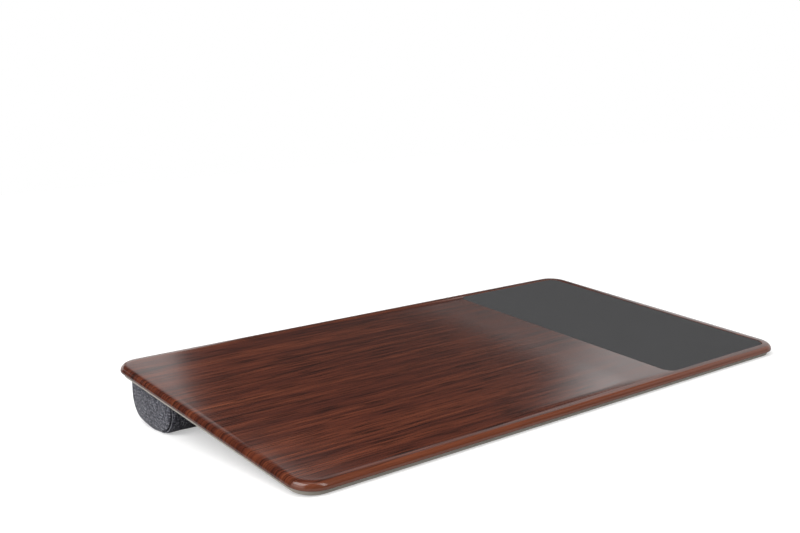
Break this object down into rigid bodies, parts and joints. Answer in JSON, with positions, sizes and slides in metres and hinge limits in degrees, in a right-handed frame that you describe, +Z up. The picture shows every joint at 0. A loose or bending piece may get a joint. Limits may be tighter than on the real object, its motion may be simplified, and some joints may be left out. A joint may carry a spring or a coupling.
{
  "type": "lap desk",
  "caption": "Cushioned lap desk: a wood-grain board on a pale base plate, with an inlaid mouse mat at one end and a zipped fabric bolster under its rear edge.",
  "frame": {"origin": "on the table, under the middle of the part's box, with the part standing as in use on its bolster and the front edge of its base plate", "axes": "+X to the user's right, where the mouse mat is; +Y to the back, where the bolster is; +Z up"},
  "size_m": [0.58, 0.3164, 0.0574],
  "materials": {
    "wood_foil": "printed dark wood-grain foil, satin gloss",
    "fibreboard": "raw fibreboard",
    "base_plastic": "smooth moulded plastic, pale warm grey",
    "mat_cloth": "fine knitted mat cloth, matt",
    "mat_rubber": "foam rubber",
    "heather_fabric": "grey heather woven upholstery fabric",
    "lining_cloth": "plain lining cloth",
    "foam": "soft foam filling",
    "hook_tape": "hook tape",
    "loop_tape": "napped loop tape",
    "zip_tape": "woven zip tape",
    "zip_coil": "moulded coil",
    "zip_metal": "dark plated zinc casting",
    "screw_steel": "zinc plated steel"
  },
  "bodies": {
    "desk": {"wood_grain_foil": "wood_foil", "top_board": "fibreboard", "mouse_mat_rubber": "mat_rubber", "mouse_mat_cloth": "mat_cloth", "base_plate": "base_plastic", "base_screws": "screw_steel", "hook_strips": "hook_tape", "loop_strips": "loop_tape", "cushion_foam": "foam", "cushion_top_panel": "lining_cloth", "cushion_body_cover": "heather_fabric", "cushion_end_left": "heather_fabric", "cushion_end_right": "heather_fabric", "zip_tape_upper": "zip_tape", "zip_tape_lower": "zip_tape", "zip_teeth_upper": "zip_coil", "zip_teeth_lower": "zip_coil", "zip_stops": "zip_metal"},
    "slider": {"zip_slider": "zip_metal"},
    "pull_tab": {"zip_pull": "zip_metal"}
  },
  "joints": [
    {"name": "zip_travel", "type": "slide", "parent": "desk", "child": "slider", "axis": [-1, 0, 0], "range_m": [0, 0.4273]},
    {"name": "pull_swing", "type": "hinge", "parent": "slider", "child": "pull_tab", "pos_m": [0.21365, 0.15518, 0.03598], "axis": [0, 0.1514, -0.9885], "range_deg": [0, 180]}
  ]
}
